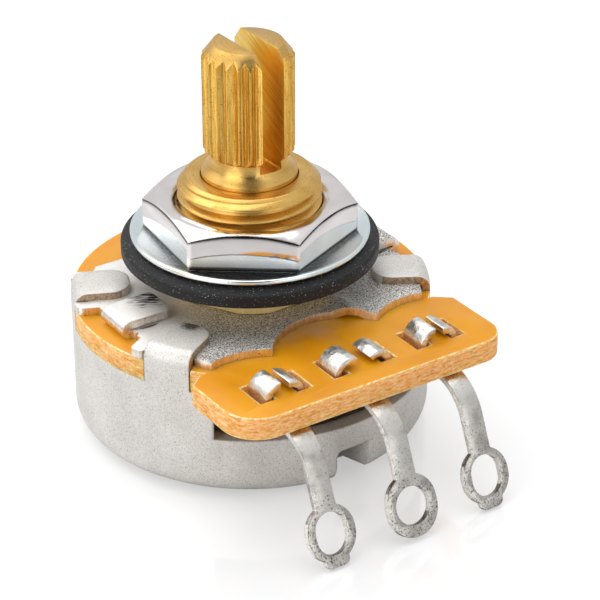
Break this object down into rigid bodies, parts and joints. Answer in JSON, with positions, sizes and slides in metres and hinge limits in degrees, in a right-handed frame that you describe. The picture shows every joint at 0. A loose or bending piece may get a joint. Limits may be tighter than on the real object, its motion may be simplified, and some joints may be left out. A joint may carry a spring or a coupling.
{
  "type": "rotary potentiometer",
  "caption": "Rotary panel potentiometer with a split knurled brass shaft, a threaded bushing with nut and washers, a metal can and solder lugs.",
  "frame": {"origin": "centre of the can's flat bottom, on the shaft's axis", "axes": "+Z along the shaft towards its slotted end, -Y towards the solder lugs, +X to the right as seen from the lugs"},
  "size_m": [0.024, 0.0314, 0.0272],
  "materials": {
    "tumbled_nickel": "nickel plate, tumbled to a fine grain",
    "plate_nickel": "nickel plate, pitted, with bright rolled edges",
    "turned_brass": "turned, bright",
    "chrome_plate": "polished plate",
    "blue_zinc": "bright bluish zinc",
    "black_rubber": "matt, lightly dusted",
    "spring_steel": "oiled",
    "brown_moulding": "moulded thermoset",
    "contact_bronze": "rolled spring sheet",
    "paper_laminate": "glossy faces, fibrous punched edges",
    "carbon_ink": "printed, matt",
    "silver_plate": "matt silver",
    "tinned_brass": "tin plate with dark pits"
  },
  "bodies": {
    "housing": {"can": "tumbled_nickel", "mounting_plate": "plate_nickel", "bushing": "turned_brass", "hex_nut": "chrome_plate", "flat_washer": "blue_zinc", "rubber_washer": "black_rubber", "element_board": "paper_laminate", "carbon_track": "carbon_ink", "collector_ring": "silver_plate", "end_pad_left": "silver_plate", "end_pad_right": "silver_plate", "terminal_left": "tinned_brass", "terminal_centre": "tinned_brass", "terminal_right": "tinned_brass"},
    "rotating_shaft": {"shaft": "turned_brass", "retaining_ring": "spring_steel", "rotor": "brown_moulding", "wiper_contact": "contact_bronze"}
  },
  "joints": [
    {"name": "shaft_turn", "type": "hinge", "parent": "housing", "child": "rotating_shaft", "pos_m": [0, 0, 0.0126], "axis": [0, 0, 1], "range_deg": [-147.5, 147.5]}
  ]
}
